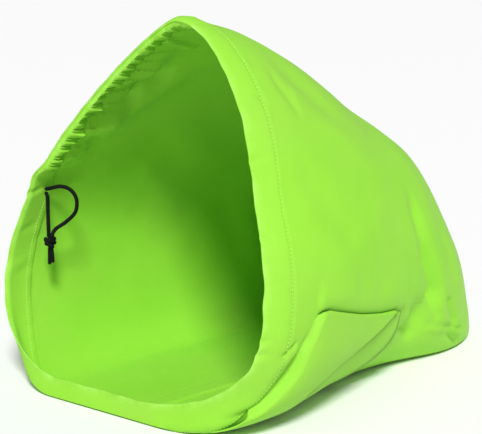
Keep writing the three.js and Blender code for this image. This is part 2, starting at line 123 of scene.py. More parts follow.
class Nodes:
    """Short hand for adding nodes to a material or a node group."""

    def __init__(self, tree):
        self.tree = tree

    def add(self, kind, **values):
        node = self.tree.nodes.new(kind)
        for key, value in values.items():
            if hasattr(node, key):
                setattr(node, key, value)
            else:
                node.inputs[key.replace("_", " ")].default_value = value
        return node

    def link(self, value, socket):
        """Leads a value into a socket, or sets it there where it is constant."""
        if isinstance(value, bpy.types.NodeSocket):
            self.tree.links.new(value, socket)
        else:
            socket.default_value = value

    def math(self, operation, a, b=0.0, clamp=False):
        node = self.add("ShaderNodeMath", operation=operation, use_clamp=clamp)
        self.link(a, node.inputs[0])
        self.link(b, node.inputs[1])
        return node.outputs[0]

    def mix(self, factor, a, b):
        node = self.add("ShaderNodeMix", data_type="RGBA")
        for socket, value in zip((node.inputs[0], node.inputs[6], node.inputs[7]), (factor, a, b)):
            self.link(value, socket)
        return node.outputs[2]

    def range(self, value, low, high, to_low=0.0, to_high=1.0):
        node = self.add("ShaderNodeMapRange", From_Min=low, From_Max=high, To_Min=to_low, To_Max=to_high)
        self.link(value, node.inputs["Value"])
        return node.outputs["Result"]

    def cloud(self, place, scale, detail, rough=0.5):
        node = self.add("ShaderNodeTexNoise", Scale=scale, Detail=detail, Roughness=rough)
        self.link(place, node.inputs["Vector"])
        return node.outputs[0]

    def attribute(self, name, output="Fac"):
        return self.add("ShaderNodeAttribute", attribute_name=name).outputs[output]

    def group(self, tree, place, **values):
        node = self.add("ShaderNodeGroup", node_tree=tree, **values)
        self.link(place, node.inputs["Place"])
        return node.outputs

    def bump(self, height, strength, distance, normal=None):
        node = self.add("ShaderNodeBump", Strength=strength, Distance=distance)
        self.link(height, node.inputs["Height"])
        if normal is not None:
            self.link(normal, node.inputs["Normal"])
        return node.outputs["Normal"]


def new_group(name, values, outputs):
    """An empty shader node group that takes a place and some values, and its two ends' sockets."""
    tree = bpy.data.node_groups.new(name, "ShaderNodeTree")
    tree.interface.new_socket(name="Place", in_out="INPUT", socket_type="NodeSocketVector")
    for key, value in values.items():
        socket = tree.interface.new_socket(name=key, in_out="INPUT", socket_type="NodeSocketFloat")
        socket.default_value = value
    for key in outputs:
        tree.interface.new_socket(name=key, in_out="OUTPUT", socket_type="NodeSocketFloat")
    nodes = Nodes(tree)
    return tree, nodes, nodes.add("NodeGroupInput").outputs, nodes.add("NodeGroupOutput").inputs


def woven_cloth_group():
    """Plain weave of fine threads: its height and the tone of its threads."""
    tree, nodes, given, out = new_group(
        "plain_weave", {"Thread Pitch": CLOTH_PITCH}, ("Height", "Thread Tone"))
    split = nodes.add("ShaderNodeSeparateXYZ")
    nodes.link(given["Place"], split.inputs[0])
    waves = []
    for axis in (0, 1):
        turns = nodes.math("DIVIDE", split.outputs[axis], given["Thread Pitch"])
        waves.append(nodes.math("SINE", nodes.math("MULTIPLY", turns, math.pi)))
    over = nodes.math("MULTIPLY", nodes.math("MULTIPLY", *waves), 0.5)
    nodes.link(nodes.math("ADD", over, 0.5), out["Height"])
    # Slubs: threads that are a little thicker or paler run along the cloth.
    tones = []
    for stretch in ((900.0, 14.0, 1.0), (14.0, 900.0, 1.0)):
        lengths = nodes.add("ShaderNodeVectorMath", operation="MULTIPLY")
        nodes.link(given["Place"], lengths.inputs[0])
        nodes.link(stretch, lengths.inputs[1])
        tones.append(nodes.cloud(lengths.outputs[0], 1.0, 2.0))
    nodes.link(nodes.math("MULTIPLY", nodes.math("ADD", *tones), 0.5), out["Thread Tone"])
    return tree


def handled_cloth_group():
    """Soft blotches and rubs that a handled cloth has, from its place on the bag."""
    tree, nodes, given, out = new_group("handled_cloth", {}, ("Blotch", "Rub", "Crumple"))
    for name, *noise_values in (
        ("Blotch", 9.0, 3.0, 0.5), ("Rub", 60.0, 4.0, 0.65), ("Crumple", 26.0, 3.0, 0.45),
    ):
        nodes.link(nodes.cloud(given["Place"], *noise_values), out[name])
    return tree


WEAVE = woven_cloth_group()
HANDLED = handled_cloth_group()

LIME = (0.275, 0.67, 0.036, 1)
LIME_SUN = (0.315, 0.715, 0.050, 1)
LIME_OLIVE = (0.27, 0.56, 0.045, 1)
LIME_DEEP = (0.21, 0.58, 0.025, 1)
# Deep green painted into the creases as their shade.
LIME_CREASE_SHADE = (0.10, 0.24, 0.012, 1)
LIME_RUBBED = (0.5, 0.95, 0.2, 1)
THREAD_LIME = (0.48, 0.92, 0.16, 1)
# The braid's hollows are painted darker than its ridges as their shade.
BLACK_HOLLOW_SHADE = (0.003, 0.0035, 0.003, 1)
BLACK_RIDGE = (0.008, 0.009, 0.008, 1)
BLACK_RUBBED = (0.016, 0.018, 0.015, 1)
PAPER = (0.965, 0.965, 0.965, 1)


def new_material(name, settings):
    """A material, its nodes and its shader's sockets, with the constant settings on them."""
    material = bpy.data.materials.new(name)
    material.use_nodes = True
    shader = material.node_tree.nodes["Principled BSDF"].inputs
    for key, value in settings.items():
        shader[key].default_value = value
    return material, Nodes(material.node_tree), shader


def lime_cloth(name):
    """Smooth matt woven polyester, bright lime."""
    material, nodes, shader = new_material(name, {
        "Specular IOR Level": 0.28, "Sheen Weight": 0.12, "Sheen Roughness": 0.45,
        "Sheen Tint": (0.85, 1.0, 0.6, 1),
    })
    weave = nodes.group(WEAVE, nodes.attribute("cloth_place", "Vector"), Thread_Pitch=CLOTH_PITCH)
    handled = nodes.group(HANDLED, nodes.add("ShaderNodeTexCoord").outputs["Object"])
    color = nodes.mix(nodes.range(handled["Blotch"], 0.35, 0.65), LIME, LIME_SUN)
    color = nodes.mix(nodes.range(handled["Blotch"], 0.45, 0.62, 0.0, 0.35), color, LIME_OLIVE)
    # Painted shade: the crease mask darkens the cloth in the gathers' nips and along the tuck's folded
    # edges.
    crease_shade = nodes.math("MULTIPLY", nodes.attribute("crease"), 0.85, clamp=True)
    color = nodes.mix(crease_shade, color, LIME_CREASE_SHADE)
    color = nodes.mix(nodes.range(weave["Thread Tone"], 0.35, 0.65, 0.0, 0.14), color, LIME_DEEP)
    rub = nodes.range(handled["Rub"], 0.4, 0.7)
    rubbed = nodes.math("MULTIPLY", nodes.attribute("worn_edge_and_braid_shade"), rub, clamp=True)
    color = nodes.mix(nodes.math("MULTIPLY", rubbed, 0.5), color, LIME_RUBBED)
    nodes.link(color, shader["Base Color"])
    nodes.link(nodes.range(handled["Rub"], 0.3, 0.7, 0.66, 0.8), shader["Roughness"])
    fine = nodes.bump(weave["Height"], 0.6, WEAVE_DEPTH)
    nodes.link(nodes.bump(handled["Crumple"], 0.5, CRUMPLE_DEPTH, fine), shader["Normal"])
    return material


def braided_black(name):
    """Matt black braided polyester cord."""
    material, nodes, shader = new_material(name, {
        "Specular IOR Level": 0.1, "Sheen Weight": 0.03, "Sheen Roughness": 0.4,
    })
    place = nodes.attribute("cloth_place", "Vector")
    weave = nodes.group(WEAVE, place, Thread_Pitch=BRAID_PITCH)
    handled = nodes.group(HANDLED, place)
    # Painted shade: the ridge mask draws the braid's hollows darker than its ridges.
    color = nodes.mix(nodes.attribute("worn_edge_and_braid_shade"), BLACK_HOLLOW_SHADE, BLACK_RIDGE)
    color = nodes.mix(nodes.range(handled["Rub"], 0.45, 0.75, 0.0, 0.5), color, BLACK_RUBBED)
    nodes.link(color, shader["Base Color"])
    nodes.link(nodes.range(weave["Thread Tone"], 0.3, 0.7, 0.62, 0.85), shader["Roughness"])
    nodes.link(nodes.bump(weave["Height"], 0.7, THREAD_DEPTH), shader["Normal"])
    return material


def sewing_thread(name):
    """Twisted polyester sewing thread, a shade paler than the cloth."""
    material, nodes, shader = new_material(name, {"Specular IOR Level": 0.45})
    tone = nodes.cloud(nodes.add("ShaderNodeTexCoord").outputs["Object"], 1500.0, 2.0)
    nodes.link(nodes.mix(tone, LIME, THREAD_LIME), shader["Base Color"])
    nodes.link(nodes.range(tone, 0.3, 0.7, 0.45, 0.65), shader["Roughness"])
    nodes.link(nodes.bump(tone, 0.5, THREAD_DEPTH), shader["Normal"])
    return material


# Cord
STRAND_DOWN = np.array([
    [-129.64, -171.93, 161.86], [-127.82, -171.71, 160.97], [-125.70, -172.24, 156.48],
    [-125.30, -172.64, 144.48], [-125.10, -172.64, 125.48],
]) * MM
STRAND_LOOP = np.array([
    [-128.99, -171.12, 166.14], [-127.17, -170.91, 165.25], [-118.30, -163.64, 167.68],
    [-111.80, -157.64, 164.48], [-107.80, -154.64, 156.48], [-108.30, -155.64, 145.48],
    [-113.80, -161.14, 136.98], [-119.50, -168.84, 130.48], [-120.70, -172.24, 125.48],
]) * MM
KNOT_TOP = np.array([-122.90, -172.64, 125.18]) * MM
BRAID_SIDES = 20
BRAID_STEP = 0.3 * MM
BRAID_STRANDS = 8
BRAID_LAY = 5.2 * MM
BRAID_RELIEF = 0.045
CURVE_STEPS = 60


def smooth_step(value):
    k = np.clip(value, 0, 1)
    return k * k * (3 - 2 * k)


def unit(vectors):
    """The vectors at length 1."""
    return vectors / np.maximum(np.linalg.norm(vectors, axis=-1, keepdims=True), 1e-9)


def bell(value, reach):
    """1 at no distance, falling softly away over the reach."""
    return np.exp(-(value / reach) ** 2)


def length_from(points, axis=0):
    """Length along a line or over a sheet from its first points along that axis."""
    steps = np.linalg.norm(np.diff(points, axis=axis), axis=-1)
    first = np.zeros_like(np.take(steps, [0], axis=axis))
    return np.concatenate([first, np.cumsum(steps, axis=axis)], axis=axis)


def along_line(at, length, line):
    """The line's points at those lengths."""
    return np.stack([np.interp(at, length, line[:, k]) for k in range(3)], axis=1)


def smooth_line(points):
    """Catmull-Rom curve through the points, in equal steps, and its length."""
    points = np.asarray(points, float)
    ends = np.vstack([2 * points[0] - points[1], points, 2 * points[-1] - points[-2]])
    k = np.linspace(0, 1, CURVE_STEPS, endpoint=False)[:, None]
    fine = []
    for i in range(len(points) - 1):
        p = ends[i:i + 4]
        fine.append(0.5 * (2 * p[1] + (p[2] - p[0]) * k + (2 * p[0] - 5 * p[1] + 4 * p[2] - p[3]) * k ** 2
                           + (3 * p[1] - p[0] - 3 * p[2] + p[3]) * k ** 3))
    line = np.vstack([*fine, points[-1:]])
    length = length_from(line)
    at = np.linspace(0, length[-1], max(3, int(round(length[-1] / BRAID_STEP)) + 1))
    return along_line(at, length, line), length[-1]


def ring_faces(count, size, closed=False):
    """Faces between rings of points, and from the last ring to the first where it is closed."""
    i, j = np.meshgrid(np.arange(count if closed else count - 1), np.arange(size), indexing="ij")
    k, m = (i + 1) % count, (j + 1) % size
    faces = np.stack([i * size + j, i * size + m, k * size + m, k * size + j], axis=-1)
    return faces.reshape(-1, 4)


def tube_faces(count, size, first=0):
    """Sides and ends of a tube of rings, from the number of its first point."""
    last = first + (count - 1) * size
    ends = [list(range(first, first + size))[::-1], list(range(last, last + size))]
    return (ring_faces(count, size) + first).tolist() + ends


def braided_tube(line, diameter, round_ends=(0.5, 0.5)):
    """Points, faces, lengths and ridge mask of a braided cord along a line."""
    count = len(line)
    ahead = unit(np.gradient(line, axis=0))
    across = np.zeros_like(line)
    across[0] = unit(np.cross(ahead[0], [0.3, 0.9, 0.2]))
    for i in range(1, count):
        across[i] = unit(across[i - 1] - ahead[i] * (across[i - 1] @ ahead[i]))
    up = np.cross(ahead, across)
    length = length_from(line)
    angle = np.linspace(0, 2 * math.pi, BRAID_SIDES, endpoint=False)
    s, a = np.meshgrid(length, angle, indexing="ij")
    turn = 2 * math.pi * s / BRAID_LAY
    left = np.cos(BRAID_STRANDS / 2 * (a + turn))
    right = np.cos(BRAID_STRANDS / 2 * (a - turn))
    ridge = 0.5 + 0.25 * (left + right)
    radius = diameter / 2 * (1 + BRAID_RELIEF * (2 * ridge - 1))
    for end, share in zip((s, length[-1] - s), round_ends):
        reach = diameter * share
        k = np.clip(end / max(reach, 1e-9), 0, 1)
        radius = radius * (np.sqrt(np.clip(1 - (1 - k) ** 2, 0.03, 1)) if share else 1)
    points = (line[:, None, :] + across[:, None, :] * (np.cos(a) * radius)[..., None]
              + up[:, None, :] * (np.sin(a) * radius)[..., None]).reshape(-1, 3)
    place = np.stack([s, a * diameter / 2, np.zeros_like(s)], axis=-1).reshape(-1, 3)
    return points, tube_faces(count, BRAID_SIDES), place, ridge.reshape(-1)


def make_cord_piece(name, tubes, node, material):
    """One piece of cord from its tubes."""
    points, sides, places, ridges = zip(*tubes)
    starts = np.cumsum([0] + [len(p) for p in points]).tolist()
    faces = [[v + start for v in face] for start, tube in zip(starts, sides) for face in tube]
    # On the cord this mask is the braid's ridges, which paints shade into its hollows; on the hem the
    # same mask marks real wear at the free edge.
    masks = {"worn_edge_and_braid_shade": np.concatenate(ridges)}
    return add_piece(name, node, np.vstack(points), faces, material, np.vstack(places), masks,
                     sharp=80)


def knot_tubes():
    """One overhand turn drawn tight round both strands, and the two cut ends below it."""
    middle = KNOT_TOP - np.array([0, 0, KNOT_LENGTH / 2])
    tubes = []

    def lay_cord(points, tightness=1.0, round_ends=(0.5, 0.5)):
        line, _ = smooth_line(points + middle)
        tubes.append(braided_tube(line, CORD_DIAMETER * tightness, round_ends))

    reach = KNOT_WIDTH / 2 - CORD_DIAMETER / 2
    k = np.linspace(0, 1, 28)
    turn = 2 * math.pi * (0.15 + 1.72 * k)
    wrap = np.stack([
        reach * np.cos(turn) * (1 - 0.25 * np.cos(math.pi * (2 * k - 1)) ** 8),
        reach * np.sin(turn) * 0.96,
        KNOT_LENGTH * 0.24 * (1 - 2 * k) + KNOT_TILT * np.cos(turn + 0.8),
    ], axis=1)
    start = np.array([[-0.2, 0.4, KNOT_LENGTH / MM * 0.42]]) * MM
    stop = np.array([[0.4, -0.3, -KNOT_LENGTH / MM * 0.40]]) * MM
    lay_cord(np.vstack([start, wrap, stop]))
    over = [[-3.0, -2.6, 3.6], [-1.0, -4.2, 1.6], [2.2, -3.8, -1.6], [3.4, -1.2, -3.6], [1.6, 1.2, -4.6]]
    lay_cord(np.array(over) * MM)
    for side in (-1, 1):
        core = [[2.2 * side, 0, 6.2], [1.4 * side, 0.3, 3.0], [0.9 * side, 0, 0], [1.2 * side, 0, -4.5]]
        lay_cord(np.array(core) * MM, 0.92)
    r = CORD_DIAMETER / MM / 2
    low = -KNOT_LENGTH / MM / 2
    for side, lean, share in ((1, 1.2, 0.86), (-1, 0.4, 1.0)):
        long = TAIL_LENGTH / MM * share
        tail = [
            [side * r * 0.5, 0, low + 4], [side * r * 0.95, lean * 0.2, low - long * 0.25],
            [side * r * 1.15 - lean * 0.4, lean * 0.6, low - long * 0.62],
            [side * r * 1.25 - lean, lean, low - long],
        ]
        lay_cord(np.array(tail) * MM, 0.96, (0.5, 0.28))
    return tubes


# Each strand runs on a little way into the knot.
INTO_KNOT = np.array([0, 0, -2.6]) * MM


def make_cords():
    black = braided_black("black_braided_cord")
    knot = make_cord_piece("drawcord_knot_tied", knot_tubes(), "drawcord_knot", black)
    for name, node, route, lay in (
        ("drawcord_down", "drawcord_strand_down", STRAND_DOWN, "hanging"),
        ("drawcord_loop", "drawcord_strand_loop", STRAND_LOOP, "loose"),
    ):
        line, length = smooth_line(np.vstack([route, route[-1] + INTO_KNOT]))
        tube = braided_tube(line, CORD_DIAMETER, round_ends=(0.5, 0))
        strand = make_cord_piece(name, [tube], node, black)


# Cross sections of the bag from the mouth to the closed end, as in the bag's solids.
SECTIONS = table(
    "along height crest near far wide_near wide_far lift foot_near foot_far low_near low_far"
    " top_near top_far curl lean yaw",
    [
        (0, .985, .08, .94, .98, .26, .30, .050, .14, .42, .52, .54, .43, .13, 0, .20, .12),
        (0.03, .985, .08, .98, .99, .27, .30, .006, .34, .46, .52, .54, .44, .15, -.038, .20, .12),
        (0.06, .98, .08, 1, .99, .28, .31, 0, .52, .50, .54, .56, .45, .17, -.033, .19, .11),
        (.2, .95, .08, .99, .97, .31, .33, 0, .58, .58, .46, .62, .45, .30, 0, .13, .05),
        (.4, .865, .10, .92, .93, .33, .35, 0, .48, .60, .28, .62, .47, .40, 0, .04, 0),
        (.6, .755, .12, .84, .84, .32, .35, 0, .46, .56, .40, .62, .48, .45, 0, -.08, 0),
        (.8, .67, .15, .76, .70, .25, .30, 0, .60, .50, .62, .62, .58, .48, 0, -.27, 0),
        (1, .59, .17, .68, .58, .15, .22, 0, .62, .40, .62, .62, .66, .50, 0, -.48, 0),
    ],
)
CLOSING_FROM = 0.70
CLOSING_POWER = 2.2
FOOT_SHARE = 0.14
WIDE_SHARE = 0.40
LOWER_PULL = 0.42
UPPER_PULL = 0.46
CURL_UNDER = 0.2
# The spare cloth folded up against the near wall.
TUCK = table("along crease", [
    (0, .287), (.05, .284), (.1, .279), (.135, .286), (.165, .297), (.19, .296), (.24, .28), (.34, .249),
    (.43, .227), (.49, .219), (.535, .207), (.75, .19), (1, .16),
])
# Where the tuck's cloth stands at the floor, which slants its folded edges.
TUCK_FLOOR = table("along floor", [
    (0, 0), (.07, .07), (.1, .09), (.165, .13), (.25, .18), (.38, .23), (.496, .285), (.515, .33),
    (.535, .392), (.75, .72), (1, 1),
])
# The soft left edge of the tuck, from the floor up to its top crease.
TUCK_START = table("up along", [
    (0, .02), (.053, .043), (.074, .062), (.113, .082), (.16, .105), (.214, .112), (.258, .137),
    (.29, .155),
])
TUCK_START_WIDTH = 0.026
# The overlap's front edge and the tuck's back edge lie at these shares of the cloth's length.
OVERLAP_EDGE = 0.496
TUCK_END = 0.535
# The overlap's front edge runs down and forward: its place at each share of the way up the tuck.
OVERLAP_LINE = table("up along", [
    (0, .17), (.4, .19), (.7, .228), (.75, .259), (.81, .306), (.85, .36), (.9, .411), (.95, .458),
    (1, .496),
])
TUCK_POCKET = 0.012
# The tuck swells to its full rise low down and leans back on the wall at its top crease.
TUCK_FULL_AT = 0.5
TUCK_LEAN = 0.5
TUCK_LEAN_FROM = 0.72
CREASE_MARK = 0.36
# Soft dents and swells: place, reach and rise as shares of the bag's length and height.
DENTS = table("near along up long high turn rise", [
    (1, .3, .8, .1, .04, -30, -.012), (1, .36, .7, .12, .05, -25, .008), (1, .8, .34, .04, .2, 0, -.006),
    (1, .9, .26, .04, .16, 0, .008), (1, .62, .16, .04, .06, 0, -.025), (1, 0, .58, .2, .13, 0, -.034),
    (1, .09, .15, .03, .08, -40, -.01), (0, .02, .55, .08, .03, 0, .016),
    (0, .16, .72, .12, .035, 35, -.016), (0, .14, .6, .12, .035, 35, .012),
    (0, .45, .6, .15, .06, -25, -.016), (0, .7, .25, .06, .15, 10, -.018),
])
# Sharp creases and narrow folds: two ends as shares, half width and rise in mm. Seen from inside
# the bag, a fold on the far wall with a rise below zero stands proud.
CREASES = table("near along0 up0 along1 up1 width rise", [
    (1, .625, .5, .64, .34, 11, -5.5), (1, .64, .36, .695, .19, 11, -8.5), (1, .8, .4, .83, .18, 14, 3.6),
    (1, .657, .235, .705, .125, 7, -4.4), (1, .752, .19, .797, .085, 5, -5),
    (1, .665, .13, .733, .108, 2.4, -2.4), (1, .733, .108, .83, .065, 2.4, -2.8),
    (1, .672, .12, .825, .052, 4, 1.8), (1, .735, .095, .808, .025, 3.5, -3.2),
    (1, .553, .15, .622, .098, 4.5, -4), (1, .57, .19, .6, .15, 4, 1.6),
    (1, .085, .24, .047, .215, 2, -2), (1, .1, .225, .055, .19, 4, 1.2),
    (1, .128, .25, .108, .19, 4, -2.4), (1, .108, .2, .085, .11, 4.5, -3),
    (1, .085, .115, .04, .045, 4.5, -2.6), (1, .14, .858, .198, .765, 7, -1.8),
    (1, .205, .812, .39, .78, 4, 1), (1, .13, .66, .3, .43, 16, -1.6), (1, .19, .38, .48, .5, 18, 1.5),
    (1, .3, .33, .44, .3, 8, -1.2), (1, .075, .8, .038, .811, 2.2, -1.1),
    (1, .025, .684, -.004, .669, 2, -1.2), (1, .016, .494, -.004, .498, 2.2, -1.3),
    (1, .012, .262, -.006, .257, 2.2, -1.6), (1, .016, .232, -.006, .222, 2.6, -1.6),
    (1, .03, .4, .06, .36, 3, -.8), (0, .02, .79, .215, .822, 8, 8), (0, .02, .725, .165, .768, 7, 7),
    (0, .03, .622, .15, .658, 8, 6), (0, .035, .8, .15, .862, 10, -7), (0, .03, .755, .135, .792, 8, -6),
    (0, .03, .68, .15, .708, 9, -5.5), (0, .06, .932, .2, .903, 2, -2.4),
    (0, .055, .59, .12, .612, 5, -1.8), (0, -.004, .508, .05, .522, 2.6, 1.6),
    (0, .012, .4, .05, .42, 4, .9), (0, .008, .3, .046, .315, 5, -.9), (0, .3, .55, .46, .36, 14, -2.4),
])
# Dents and creases fade out towards the crest over these shares of the way round.
DENTS_FADE = 0.08
CREASES_FADE = 0.05
# The gathers run from just past the crest down the far side to the drawcord exit.
GATHER_NEAR_END = 0.93
GATHER_FAR_END = 0.545
GATHER_FADE = 0.04


def section_value(name, along):
    places, values = SECTIONS["along"], SECTIONS[name]
    i = np.clip(np.searchsorted(places, along) - 1, 0, len(places) - 2)
    low = np.maximum(np.arange(len(places)) - 1, 0)
    high = np.minimum(np.arange(len(places)) + 1, len(places) - 1)
    slopes = (values[high] - values[low]) / (places[high] - places[low])
    h = places[i + 1] - places[i]
    k = (along - places[i]) / h
    return ((2 * k ** 3 - 3 * k ** 2 + 1) * values[i] + (k ** 3 - 2 * k ** 2 + k) * h * slopes[i]
            + (3 * k ** 2 - 2 * k ** 3) * values[i + 1] + (k ** 3 - k ** 2) * h * slopes[i + 1])


def bezier(a, b, c, d, k):
    j = 1 - k
    return j ** 3 * a + 3 * j * j * k * b + 3 * j * k * k * c + k ** 3 * d


def base_point(near, along, turn):
    """The plain wall. turn runs from 0 at the seam underneath to 1 at the crest."""
    side, sign = ("near", 1) if near else ("far", -1)

    def value(name):
        return section_value(name, along)

    top = value("height") * BAG_HEIGHT
    low = np.maximum(0, value("lift")) * BAG_HEIGHT
    wide_z = value("wide_" + side) * BAG_HEIGHT
    seam = value("crest") * HALF_WIDTH
    k = np.maximum(0, (along - CLOSING_FROM) / (1 - CLOSING_FROM))
    shrink = np.maximum(0, 1 - k ** CLOSING_POWER) ** (1 / CLOSING_POWER)
    wide = (value(side) * HALF_WIDTH - sign * seam) * shrink
    foot = (value("foot_" + side) * HALF_WIDTH - sign * seam) * shrink
    k = (turn - FOOT_SHARE) / (WIDE_SHARE - FOOT_SHARE)
    out = bezier(foot, foot + (wide - foot) * value("low_" + side), wide, wide, k)
    z = bezier(low, low, low + (wide_z - low) * LOWER_PULL, wide_z, k)
    k = (turn - WIDE_SHARE) / (1 - WIDE_SHARE)
    upper = turn >= WIDE_SHARE
    out = np.where(upper, bezier(wide, wide, wide * value("top_" + side), 0, k), out)
    z = np.where(upper, bezier(wide_z, wide_z + (top - wide_z) * UPPER_PULL, top, top, k), z)
    flat = turn < FOOT_SHARE
    out = np.where(flat, foot * turn / FOOT_SHARE, out)
    z = np.where(flat, low, z)
    x = seam + sign * out
    low_down = np.maximum(0, 1 - z / (CURL_UNDER * BAG_HEIGHT))
    y = BAG_LENGTH * (along + value("curl") * low_down ** 2) + value("lean") * z + value("yaw") * x
    return np.stack([x, y, z], axis=-1)


def base_normal(near, along, turn):
    e = 0.002
    a = np.clip(along, e, 1 - 1.5 * e)
    r = np.clip(turn, e, 1 - e)
    u = base_point(near, a + e, r) - base_point(near, a - e, r)
    w = base_point(near, a, r + e) - base_point(near, a, r - e)
    return unit(np.cross(u, w) if near else np.cross(w, u))


def tuck_floor(along):
    return np.interp(along, *TUCK_FLOOR.values())


def crease_turn(along):
    """How far round the near wall the tuck's top crease lies."""
    low = np.maximum(0, section_value("lift", along))
    share = (np.interp(along, *TUCK.values()) - low) / (section_value("wide_near", along) - low)
    k = np.ones_like(share)
    for _ in range(6):
        k = np.sqrt(share / (3 * LOWER_PULL + (1 - 3 * LOWER_PULL) * k))
    return FOOT_SHARE + (WIDE_SHARE - FOOT_SHARE) * k


def rows_on(rows, near):
    """A table's rows for one wall, each as named values."""
    for i in np.flatnonzero(rows["near"] == near):
        yield {name: column[i] for name, column in rows.items()}


def dent_rise(near, along, up):
    rise = np.zeros_like(up)
    for d in rows_on(DENTS, near):
        c, s = math.cos(math.radians(d["turn"])), math.sin(math.radians(d["turn"]))
        dx = (along - d["along"]) * BAG_LENGTH
        dz = (up - d["up"]) * BAG_HEIGHT
        p = (dx * c + dz * s) / (d["long"] * BAG_LENGTH)
        q = (dz * c - dx * s) / (d["high"] * BAG_HEIGHT)
        rise = rise + d["rise"] * BAG_HEIGHT * np.exp(-(p * p + q * q))
    return rise * smooth_step(up / 0.05) * smooth_step((1 - along) / 0.05)


def crease_rise(near, along, up):
    rise = np.zeros_like(up)
    x, z = along * BAG_LENGTH, up * BAG_HEIGHT
    for c in rows_on(CREASES, near):
        x0, z0 = c["along0"] * BAG_LENGTH, c["up0"] * BAG_HEIGHT
        dx, dz = c["along1"] * BAG_LENGTH - x0, c["up1"] * BAG_HEIGHT - z0
        long = math.hypot(dx, dz)
        run = ((x - x0) * dx + (z - z0) * dz) / long ** 2
        aside = ((z - z0) * dx - (x - x0) * dz) / long
        width = c["width"] * MM
        fade = 2.5 * width
        ends = smooth_step((run * long + width) / fade) * smooth_step(((1 - run) * long + width) / fade)
        rise = rise + c["rise"] * MM * ends * bell(aside, width)
    return rise * smooth_step(up / 0.03)


def gather_amount(near, turn):
    end = GATHER_NEAR_END if near else GATHER_FAR_END
    return np.clip((turn - end) / GATHER_FADE, 0, 1)


def hem_depth_at(near, turn):
    return HEM_DEPTH + (GATHERED_HEM_DEPTH - HEM_DEPTH) * gather_amount(near, turn)


def wall_places(near, along, turn):
    """Place on the plain wall of a place on the cloth, with the tuck's share of rise."""
    if not near:
        return along, turn, np.zeros_like(turn), np.zeros_like(turn)
    crease = crease_turn(along)
    under = turn < CREASE_MARK
    lower = crease * turn / CREASE_MARK
    up = (lower - FOOT_SHARE) / (crease - FOOT_SHARE)
    floor = tuck_floor(along)
    k = (turn - CREASE_MARK) / (1 - CREASE_MARK)
    place = np.where(under, floor + (along - floor) * smooth_step(up), along)
    round_ = np.where(under, lower, crease + (1 - crease) * k)
    lean = TUCK_LEAN * smooth_step((up - TUCK_LEAN_FROM) / (1 - TUCK_LEAN_FROM))
    lift = smooth_step(up / TUCK_FULL_AT) * (1 - lean)
    return place, round_, np.where(under, lift, 0.0), np.where(under, 1.0, np.maximum(0, k))


def wall_point(near, along, turn, depth=0.0, detail=0.0):
    """Outer face of a wall moved inwards by depth, with the dents and finer detail."""
    place, round_, lift, above = wall_places(near, along, turn)
    p = base_point(near, place, round_)
    n = base_normal(near, place, round_)
    up = p[..., 2] / BAG_HEIGHT
    rise = dent_rise(near, place, up) * smooth_step((1 - round_) / DENTS_FADE)
    rise = rise + crease_rise(near, place, up) * smooth_step((1 - round_) / CREASES_FADE)
    return p + n * (rise + detail - depth)[..., None], n, lift, above


# Finer detail of the cloth
rng = np.random.default_rng(7)
GATHER_PHASE = rng.uniform(-0.2, 0.2, GATHER_COUNT + 3)
GATHER_SIZE = rng.uniform(0.7, 1.15, GATHER_COUNT + 3)
GATHER_RUN = rng.uniform(0.6, 1.9, GATHER_COUNT + 3)
NIPS = np.arange(GATHER_COUNT + 3) + GATHER_PHASE


def soft_noise(points, scale, seed):
    """Smooth noise from -1 to 1 at each point, with features of that size."""
    flat = points.reshape(-1, 3) / scale + seed
    values = np.fromiter((noise.noise(p) for p in map(Vector, flat.tolist())), float, len(flat))
    return values.reshape(points.shape[:-1])


def stitch_line_lengths(near):
    """How far along the hem's stitch line each place lies from the crest."""
    turn = np.linspace(1, 0, 900)
    line = wall_point(near, hem_depth_at(near, turn) / BAG_LENGTH, turn)[0]
    return turn[::-1], length_from(line)[::-1]


STITCH_LINES = {near: stitch_line_lengths(near) for near in (True, False)}
NEAR_RUN = float(np.interp(GATHER_NEAR_END, *STITCH_LINES[True]))
FAR_RUN = float(np.interp(GATHER_FAR_END, *STITCH_LINES[False]))
GATHER_PITCH = (NEAR_RUN + FAR_RUN) / GATHER_COUNT
NIP_OPENS = 0.10
PUCKER_FALL = 0.3
NIP_CLOSES = 0.20


def gather_wave(near, turn, slant=0.0):
    """Puckers between sharp nips. Each starts high and falls away to the next: height 0 to 1."""
    from_crest = np.interp(turn, *STITCH_LINES[near])
    place = (NEAR_RUN + (-from_crest if near else from_crest) + slant) / GATHER_PITCH
    j = np.clip(np.searchsorted(NIPS, place, side="right") - 1, 0, GATHER_COUNT + 1)
    share = np.clip((place - NIPS[j]) / (NIPS[j + 1] - NIPS[j]), 0, 1)
    high = smooth_step(share / NIP_OPENS) * smooth_step((1 - share) / NIP_CLOSES)
    return high * (1 - PUCKER_FALL * share) * GATHER_SIZE[j], GATHER_RUN[j]


PUCKER_RISE = 2.6 * MM
PUCKER_RUN = 16 * MM
PUCKER_FRONT = 22 * MM
PUCKER_SLANT = 0.2
SEAM_DIP = 1.2 * MM
SEAM_REACH = 2.4 * MM
SEAM_PUCKER = 0.5 * MM
SEAM_PUCKER_SIZE = 7 * MM
SEAM_PUCKER_REACH = 9 * MM
SEAM_ALLOWANCE = 8 * MM
ALLOWANCE_RISE = 1.4 * MM
ALLOWANCE_EDGE = 0.8 * MM
SEAM_GAP = 0.03 * MM
STITCH_DIP = 0.55 * MM
STITCH_REACH = 2.2 * MM
RIPPLE_RISE = 0.45 * MM
RIPPLE_SIZE = 9 * MM
EDGE_WAVE = 0.9 * MM
EDGE_WAVE_SIZE = 14 * MM
EDGE_WAVE_REACH = 6 * MM
# Soft waves all over the cloth: size, seed and rise.
WAVES = ((75 * MM, 11.0, 1.6 * MM), (30 * MM, 23.0, 0.6 * MM))


